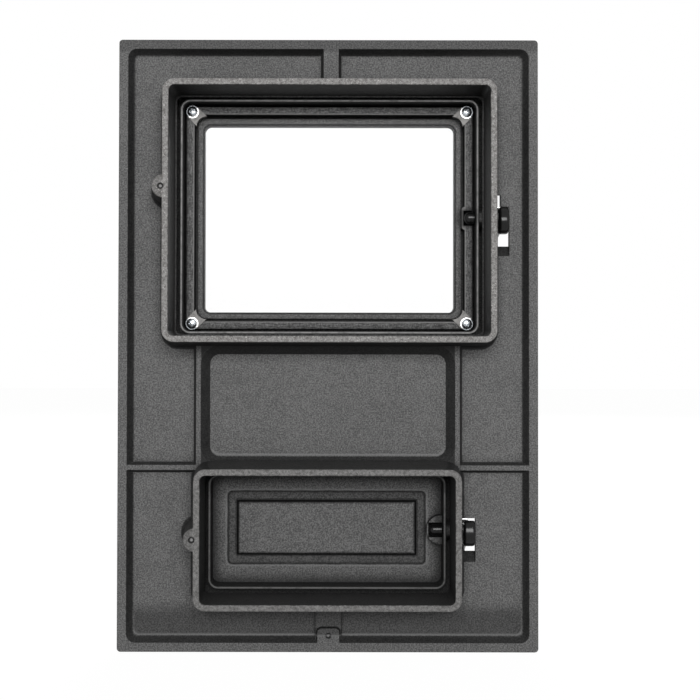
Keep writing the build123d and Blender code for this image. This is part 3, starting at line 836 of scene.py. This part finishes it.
def placed(
    name: str, mesh: bpy.types.Mesh, material: bpy.types.Material, body: Body
) -> bpy.types.Object:
    """Links a mesh as a smooth piece that rides on a body.

    Args:
        name: the piece's name.
        mesh: its mesh, already in place.
        material: its finish.
        body: the CAD body that it rides on.

    Returns:
        The piece.
    """
    mesh.materials.clear()
    mesh.materials.append(material)
    mesh.polygons.foreach_set("use_smooth", np.ones(len(mesh.polygons), dtype=bool))
    piece = bpy.data.objects.new(name, mesh)
    bpy.context.scene.collection.objects.link(piece)
    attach(piece, body.value)
    return piece


def dress(material: bpy.types.Material, *nodes: str) -> None:
    """Gives CAD nodes a finish on their own meshes.

    Args:
        material: the finish.
        nodes: the CAD nodes' names.
    """
    for node in nodes:
        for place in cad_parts[node].material_slots:
            place.material = material
        log.info("dressed %s in %s", node, material.name)


def merged_copy(node: str, name: str, cuts: tuple[float, ...]) -> bpy.types.Mesh:
    """Copies a CAD node's loose triangles as one closed mesh.

    Args:
        node: the CAD node.
        name: the new mesh's name.
        cuts: places on Y where its faces are cut through, so that a part can be reshaped.

    Returns:
        The mesh.
    """
    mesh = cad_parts[node].data.copy()
    mesh.name = name
    work = bmesh.new()
    work.from_mesh(mesh)
    bmesh.ops.remove_doubles(work, verts=work.verts, dist=1e-5)
    for depth in cuts:
        parts = work.verts[:] + work.edges[:] + work.faces[:]
        bmesh.ops.bisect_plane(work, geom=parts, plane_co=(0, depth, 0), plane_no=(0, 1, 0))
    work.to_mesh(mesh)
    work.free()
    for layer in list(mesh.attributes):
        if layer.name == "custom_normal":
            mesh.attributes.remove(layer)
    return mesh


# Sub-assemblies


@dataclass
class PlateCasting:
    """The big front plate with its two collars, and the pins that stand in its lugs."""

    def build(self) -> None:
        """Dresses the plate and its hinge pins."""
        dress(PlateIron("plate_cast_iron").material(), "front_plate")
        steel = Plated("pin_steel", level=0.34, warmth=0.02, rough=0.34, side=1.0).material()
        pins = [f"{door}_{place}_hinge_pin" for door in ("fire", "ash") for place in ("upper", "lower")]
        dress(steel, *pins)


@dataclass
class PanHeadScrews:
    """Four zinc pan-head screws with crossed slots, over thin washers."""

    radius: float = 0.0044
    height: float = 0.0030
    wall: float = 0.0013
    slot_width: float = 0.00115
    slot_reach: float = 0.0023
    slot_depth: float = 0.0017
    slot_blend: float = 0.00022
    turns: tuple[float, ...] = (20.0, 65.0, 8.0, 38.0)
    wall_rings: int = 10
    crown_rings: int = 64
    around: int = 112

    def _head(self, x_middle: float, z_middle: float, seat: float, turn: float) -> np.ndarray:
        """Works out one head.

        Rings run from the seat up a straight wall, over a crown whose height falls with a power of
        the radius, to the middle. A cross of two smooth-sided bars is sunk into it.

        Args:
            x_middle: the screw's X.
            z_middle: the screw's Z.
            seat: the Y of its seat.
            turn: how far its slots are turned, in degrees.

        Returns:
            The rings of points.
        """
        inwards = 1 - np.linspace(0, 1, self.crown_rings) ** 1.2
        radii = np.concatenate([np.ones(self.wall_rings), inwards]) * self.radius
        crown = self.wall + (self.height - self.wall) * (1 - inwards**2) ** 0.55
        rise = np.concatenate([self.wall * np.linspace(0, 1, self.wall_rings), crown])
        angle = np.linspace(0, 2 * np.pi, self.around, endpoint=False)
        x = radii[:, None] * np.cos(angle)
        z = radii[:, None] * np.sin(angle)
        lean = math.radians(turn)
        along = np.abs(x * math.cos(lean) + z * math.sin(lean))
        over = np.abs(z * math.cos(lean) - x * math.sin(lean))
        narrow = self.slot_width / 2
        first = np.maximum(along - self.slot_reach, over - narrow)
        second = np.maximum(over - self.slot_reach, along - narrow)
        share = np.clip(-np.minimum(first, second) / self.slot_blend, 0, 1)
        sunk = share**2 * (3 - 2 * share) * self.slot_depth
        return np.stack([x_middle + x, seat - rise[:, None] + sunk, z_middle + z], axis=-1)

    def build(self) -> None:
        """Makes the four heads and dresses their washers."""
        low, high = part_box("clip_screws")
        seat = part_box("clip_washers")[0].y
        left, right = low.x + self.radius, high.x - self.radius
        bottom, top = low.z + self.radius, high.z - self.radius
        places = ((left, top), (right, top), (left, bottom), (right, bottom))
        shell = Shell()
        for (x, z), turn in zip(places, self.turns):
            shell.grid(self._head(x, z, seat, turn))
        zinc = HeadZinc("head_zinc", level=0.36, warmth=-0.05, rough=0.2, spots=0.3).material()
        piece = shell.piece("pan_head_screws", zinc, Body.FIRE_DOOR, Slot.ZINC)
        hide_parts("clip_screws")
        log.info("%s stands for clip_screws", piece.name)
        dress(HeadZinc("washer_zinc", level=0.24, warmth=-0.05, rough=0.3).material(), "clip_washers")


@dataclass
class FireDoor:
    """The upper door: its casting, its window and the clips that hold the glass."""

    screws: PanHeadScrews = field(default_factory=PanHeadScrews)

    def build(self) -> None:
        """Dresses the door, glass and clips, and makes the screws."""
        dress(FireDoorIron("fire_door_iron").material(), "fire_door_leaf")
        dress(StoveGlass().material(), "window_glass")
        # the clips keep little colour on their sides, as painted shade
        clip = Plated("clip_steel", level=0.13, warmth=0.03, rough=0.46, metal=0.7, side=0.2).material()
        dress(clip, *[f"glass_clip_{number}" for number in range(1, 5)])
        self.screws.build()


@dataclass
class AshDoor:
    """The lower door's casting."""

    def build(self) -> None:
        """Dresses the door."""
        dress(AshDoorIron("ash_door_iron").material(), "ash_door_leaf")


@dataclass
class Latch:
    """One latch: a round-headed pin through the door and the lever on its end."""

    name: str
    body: Body
    pivot_up: float
    tip_depth: float
    widen: float
    lift: float
    shoulder: float = 0.0105
    blend: float = 0.002
    lift_over: float = 0.0066
    voxel: float = 0.00045
    rounds: int = 90

    def _filled(self, points: np.ndarray) -> np.ndarray:
        """Fills the nose out.

        Points of the right face behind the shoulder move right. The tip's points rise in proportion
        to their height over the pivot, up to a limit.

        Args:
            points: the lever's points, one in a row.

        Returns:
            The moved points.
        """
        moved = points.copy()
        middle = (points[:, 0].min() + points[:, 0].max()) / 2
        nose = (points[:, 0] > middle) & (points[:, 1] < self.shoulder + 1e-5)
        moved[nose, 0] += self.widen
        tip = points[:, 1] < self.tip_depth + 1e-4
        moved[tip, 2] += self.lift * np.clip((points[tip, 2] - self.pivot_up) / self.lift_over, 0, 1)
        return moved

    def _handle(self, gloss: bpy.types.Material) -> bpy.types.Object:
        """Makes the lever with a fuller nose and rounded edges.

        Args:
            gloss: the black finish.

        Returns:
            The piece.
        """
        node, name = f"{self.name}_latch_lever", f"{self.name}_latch_handle"
        mesh = merged_copy(node, name, (self.shoulder, self.shoulder + self.blend))
        points = np.empty(len(mesh.vertices) * 3)
        mesh.vertices.foreach_get("co", points)
        mesh.vertices.foreach_set("co", self._filled(points.reshape(-1, 3)).ravel())
        work = bmesh.new()
        work.from_mesh(mesh)
        flat = math.radians(0.5)
        bmesh.ops.dissolve_limit(work, angle_limit=flat, verts=work.verts, edges=work.edges)
        work.to_mesh(mesh)
        work.free()
        piece = placed(name, mesh, gloss, self.body)
        even = piece.modifiers.new("even faces", "REMESH")
        even.mode = "VOXEL"
        even.voxel_size = self.voxel
        even.use_smooth_shade = True
        rounding = piece.modifiers.new("rounded edges", "SMOOTH")
        rounding.factor = 0.5
        rounding.iterations = self.rounds
        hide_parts(node)
        return piece

    def build(self, gloss: bpy.types.Material, steel: bpy.types.Material) -> None:
        """Dresses the pin and washer, and makes the lever.

        Args:
            gloss: the black finish.
            steel: the washer's finish.
        """
        dress(gloss, f"{self.name}_latch_pin")
        dress(steel, f"{self.name}_latch_washer")
        log.info("%s stands for its lever", self._handle(gloss).name)


# Studio


@dataclass
class Studio:
    """The camera, the pale floor and backdrop, and the soft lamps."""

    distance: float = 0.995
    across: float = 0.0002
    lens: float = 61.4
    tilt: float = 0.9
    roll: float = -0.1
    shift_x: float = 0.031
    shift_y: float = -0.0341
    floor_gap: float = 0.0005
    floor_reach: float = 6.0
    surroundings: float = 0.2

    def camera(self) -> None:
        """Stands the camera straight in front of the door's back."""
        data = bpy.data.cameras.new("camera")
        data.lens = self.lens
        data.shift_x = self.shift_x
        data.shift_y = self.shift_y
        data.clip_end = 50
        item = bpy.data.objects.new("camera", data)
        item.location = (self.across, -self.distance, 0)
        item.rotation_euler = (math.radians(90 + self.tilt), math.radians(self.roll), 0)
        bpy.context.scene.collection.objects.link(item)
        bpy.context.scene.camera = item

    def _lamp(self, name: str, place: Point, size: tuple[float, float], power: float) -> None:
        """Hangs one soft lamp that points at the plate's middle.

        Args:
            name: its name.
            place: where it hangs.
            size: its width and height.
            power: its power in watts.
        """
        data = bpy.data.lights.new(name, "AREA")
        data.shape = "RECTANGLE"
        data.size, data.size_y = size
        data.energy = power
        item = bpy.data.objects.new(name, data)
        item.location = place
        x, y, z = place
        item.rotation_euler = (math.atan2(math.hypot(x, y), z), 0, math.atan2(x, -y))
        bpy.context.scene.collection.objects.link(item)

    def lamps(self) -> None:
        """Hangs a broad lamp above and behind the camera, and its like on the room side."""
        self._lamp("key", (0.1, -2.95, 0.78), (1.7, 1.1), 84)
        self._lamp("front_key", (0.4, 2.9, 1.3), (1.7, 1.3), 80)

    def world(self) -> None:
        """Makes the surroundings: dim as light, white to the eye, gloss and glass."""
        graph = Graph(bpy.data.worlds.new("surroundings"))
        strength = graph.looked_at() * (1.0 - self.surroundings) + self.surroundings
        sockets = {"Color": grey(1.0), "Strength": strength}
        bpy.context.scene.world = graph.end(graph.add("ShaderNodeBackground", None, sockets))

    def floor(self) -> None:
        """Lays the pale floor just under the plate, white to the eye but for its soft shadow."""
        low = CAD_BOX[0].z - self.floor_gap
        reach = self.floor_reach
        graph = Graph(bpy.data.materials.new("floor"))
        white = graph.add("ShaderNodeBsdfDiffuse", None, {"Color": grey(0.86)})
        glow = graph.add("ShaderNodeEmission", None, {"Color": grey(1.0), "Strength": 1.02})
        shader = graph.add("ShaderNodeMixShader", None, {0: graph.looked_at() * 0.96, 1: white, 2: glow})
        mesh = bpy.data.meshes.new("floor")
        corners = [(-reach, -reach, low), (reach, -reach, low), (reach, reach, low), (-reach, reach, low)]
        mesh.from_pydata(corners, [], [(0, 1, 2, 3)])
        mesh.materials.append(graph.end(shader))
        item = bpy.data.objects.new("floor", mesh)
        bpy.context.scene.collection.objects.link(item)

    def build(self) -> None:
        """Builds the whole studio."""
        bpy.context.scene.view_settings.view_transform = "Standard"
        self.camera()
        self.lamps()
        self.world()
        self.floor()


def main() -> None:
    """Builds the studio and every sub-assembly in order."""
    logging.basicConfig(level=logging.INFO, format="%(message)s")
    Studio().build()
    PlateCasting().build()
    FireDoor().build()
    AshDoor().build()
    gloss = BlackGloss().material()
    steel = Plated("washer_steel", level=0.3, warmth=0.0, rough=0.36, side=1.0).material()
    Latch("fire", Body.FIRE_LATCH, 0.108, tip_depth=0.0017, widen=0.0018, lift=0.002).build(gloss, steel)
    Latch("ash", Body.ASH_LATCH, -0.1566, tip_depth=0.0002, widen=0.0031, lift=0.0014).build(gloss, steel)


if __name__ == "__main__":
    main()
